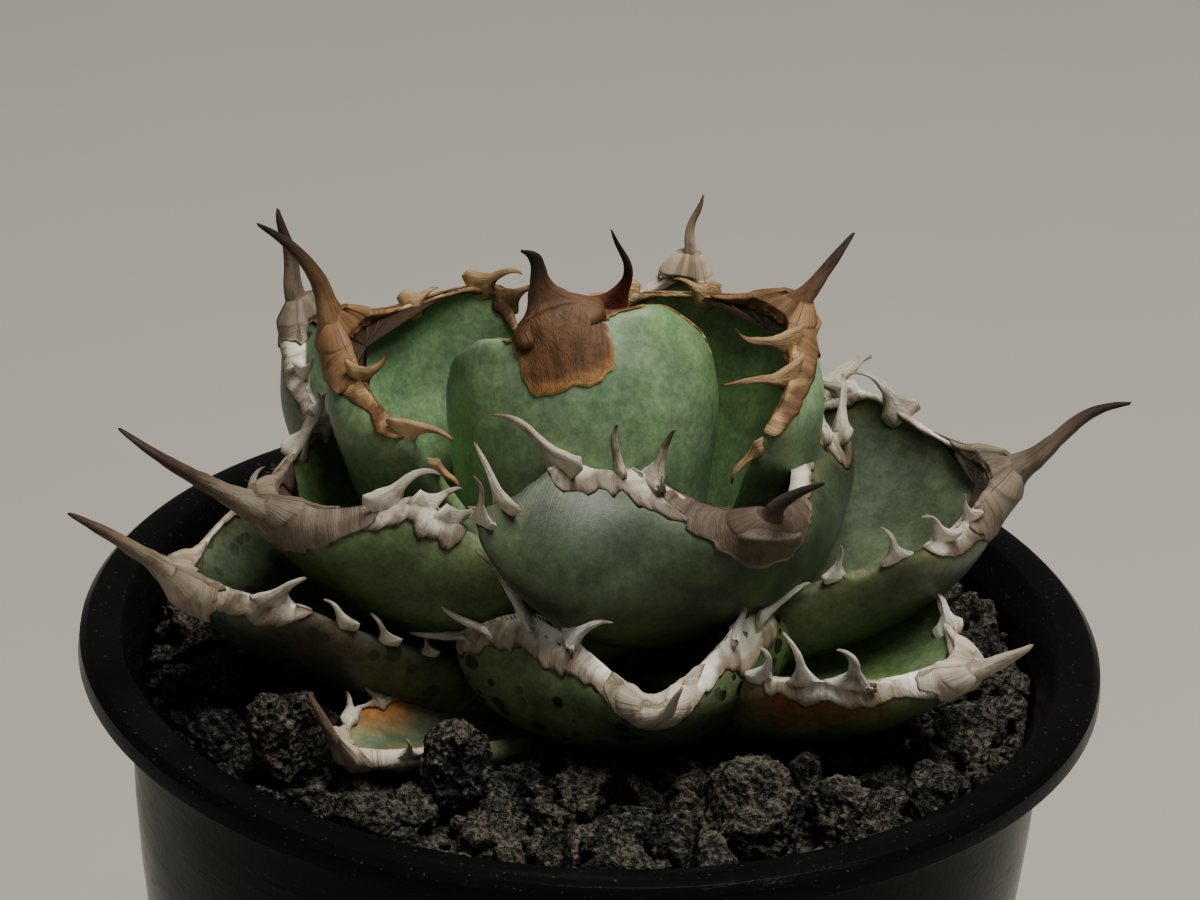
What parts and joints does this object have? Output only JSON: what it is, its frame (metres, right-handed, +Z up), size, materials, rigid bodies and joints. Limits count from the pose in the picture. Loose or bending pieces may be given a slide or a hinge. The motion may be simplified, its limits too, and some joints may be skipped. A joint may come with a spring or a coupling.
{
  "type": "potted succulent",
  "caption": "Stout succulent rosette with toothed horny leaf margins in a round lipped nursery pot, top-dressed with dark lava rock.",
  "frame": {"origin": "middle of the pot's flat foot, on the pot's axis", "axes": "+Z up along the pot's axis, -Y towards the side that the picture shows, +X to the picture's right"},
  "size_m": [0.142, 0.1406, 0.169],
  "materials": {
    "pot_plastic": "semi-gloss moulded black with faint scuffs and dust",
    "stem": "dull, pale green-brown core",
    "leaf": "waxy green skin with grey bloom; horn-coloured margins, teeth and end spine",
    "lava_rock": "rough, porous, grey-black to brown",
    "growing_medium": "crumbly dark mix"
  },
  "bodies": {
    "root": {"pot": "pot_plastic", "stem": "stem", "bud_heart": "leaf", "bud_inner_leaf": "leaf", "bud_outer_leaf": "leaf", "leaf_right_upper": "leaf", "leaf_left_upper": "leaf", "leaf_front_upper": "leaf", "leaf_back_upper": "leaf", "leaf_left_middle": "leaf", "leaf_right_middle": "leaf", "leaf_back_left": "leaf", "leaf_front_lower": "leaf", "leaf_back_right": "leaf", "leaf_left_lower": "leaf", "leaf_right_lower": "leaf", "leaf_back_lower": "leaf", "leaf_small_front": "leaf", "loose_stone_01": "lava_rock", "loose_stone_02": "lava_rock", "loose_stone_03": "lava_rock", "loose_stone_04": "lava_rock", "loose_stone_05": "lava_rock", "loose_stone_06": "lava_rock", "loose_stone_07": "lava_rock", "loose_stone_08": "lava_rock", "loose_stone_09": "lava_rock", "loose_stone_10": "lava_rock", "rock_bed": "lava_rock", "growing_medium": "growing_medium"}
  },
  "joints": []
}
